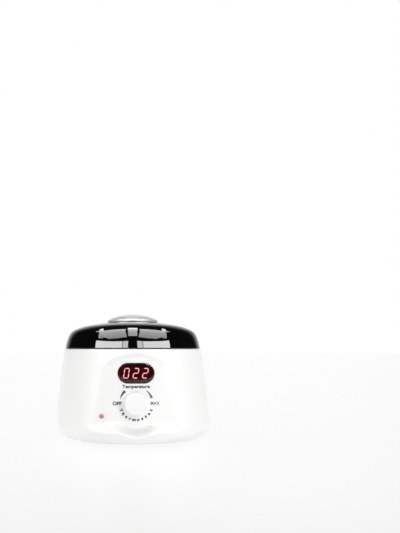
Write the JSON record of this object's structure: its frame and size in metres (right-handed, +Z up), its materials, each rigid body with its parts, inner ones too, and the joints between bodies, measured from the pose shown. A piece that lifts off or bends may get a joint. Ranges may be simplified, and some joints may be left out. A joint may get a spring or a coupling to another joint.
{
  "type": "wax warmer pot",
  "caption": "Round tabletop wax warmer: flared white housing with arched control panel, heated well, lift-out pot with bail handle, domed black lid.",
  "frame": {"origin": "on the resting plane of the feet, on the vertical axis of the well", "axes": "+Z up, the control panel faces -Y, +X to the right as seen from the front"},
  "size_m": [0.1725, 0.177, 0.138],
  "materials": {
    "shell_plastic": "glossy white moulded ABS",
    "base_plastic": "white moulded ABS, fine texture",
    "foot_rubber": "black moulded rubber",
    "collar_plastic": "black heat-resistant moulding",
    "well_aluminium": "anodised drawn aluminium",
    "heater_steel": "steel-clad mica band",
    "blanket_fibre": "woven glass-fibre wrap",
    "zinc_steel": "zinc-plated steel",
    "spacer_ceramic": "unglazed ceramic",
    "sensor_copper": "drawn copper",
    "window_plastic": "polished dark red window",
    "module_plastic": "black potted digit module",
    "board_laminate": "green glass-epoxy laminate",
    "chip_plastic": "moulded epoxy",
    "thermostat_plastic": "moulded phenolic",
    "nut_steel": "nickel-plated steel",
    "spindle_steel": "turned steel",
    "knob_plastic": "satin white moulded ABS",
    "clip_steel": "spring steel",
    "pilot_plastic": "clear red polycarbonate",
    "lamp_glass": "neon lamp glass",
    "transformer_core": "varnished steel laminations",
    "relay_plastic": "blue moulded case",
    "capacitor_sleeve": "shrunk sleeve",
    "terminal_plastic": "green polyamide",
    "gland_plastic": "white polyamide",
    "clamp_plastic": "white polyamide",
    "pot_aluminium": "spun aluminium",
    "lug_steel": "pressed stainless steel",
    "handle_wire": "plated steel wire",
    "lid_plastic": "polished black moulding",
    "cap_chrome": "chrome-plated ABS"
  },
  "bodies": {
    "housing": {"body_shell": "shell_plastic", "base_plate": "base_plastic", "rubber_feet": "foot_rubber", "base_screws": "zinc_steel", "collar_ring": "collar_plastic", "heater_well": "well_aluminium", "band_heater": "heater_steel", "heater_bolt": "zinc_steel", "insulation_blanket": "blanket_fibre", "heat_shield": "zinc_steel", "shield_posts": "zinc_steel", "post_screws": "zinc_steel", "shield_screws": "zinc_steel", "well_stud": "zinc_steel", "well_spacer": "spacer_ceramic", "well_nut": "zinc_steel", "thermostat_bulb": "sensor_copper", "display_probe": "sensor_copper", "thermal_fuse": "zinc_steel", "display_window": "window_plastic", "led_module": "module_plastic", "display_board": "board_laminate", "driver_chip": "chip_plastic", "display_screws": "zinc_steel", "thermostat_body": "thermostat_plastic", "thermostat_nut": "nut_steel", "pilot_lens": "pilot_plastic", "pilot_lamp": "lamp_glass", "pilot_clip": "clip_steel", "power_board": "board_laminate", "transformer": "transformer_core", "relay": "relay_plastic", "capacitor": "capacitor_sleeve", "terminal_block": "terminal_plastic", "board_screws": "zinc_steel", "cord_gland": "gland_plastic", "cord_clamp": "clamp_plastic", "clamp_screws": "zinc_steel"},
    "control_knob": {"knob": "knob_plastic", "knob_clip": "clip_steel", "thermostat_spindle": "spindle_steel"},
    "inner_pot": {"wax_pot": "pot_aluminium", "handle_lugs": "lug_steel", "lug_rivets": "pot_aluminium"},
    "handle": {"bail_handle": "handle_wire"},
    "lid": {"lid_dome": "lid_plastic", "lid_cap": "cap_chrome", "cap_washer": "zinc_steel", "cap_screw": "zinc_steel"}
  },
  "joints": [
    {"name": "pot_lift", "type": "slide", "parent": "housing", "child": "inner_pot", "axis": [0, 0, 1], "range_m": [0, 0.08]},
    {"name": "lid_lift", "type": "slide", "parent": "inner_pot", "child": "lid", "axis": [0, 0, 1], "range_m": [0, 0.08]},
    {"name": "handle_swing", "type": "hinge", "parent": "inner_pot", "child": "handle", "pos_m": [0, 0, 0.1033], "axis": [1, 0, 0], "range_deg": [0, 14]},
    {"name": "knob_turn", "type": "hinge", "parent": "housing", "child": "control_knob", "pos_m": [0, -0.073, 0.044], "axis": [0, 1, 0], "range_deg": [0, 180]}
  ]
}
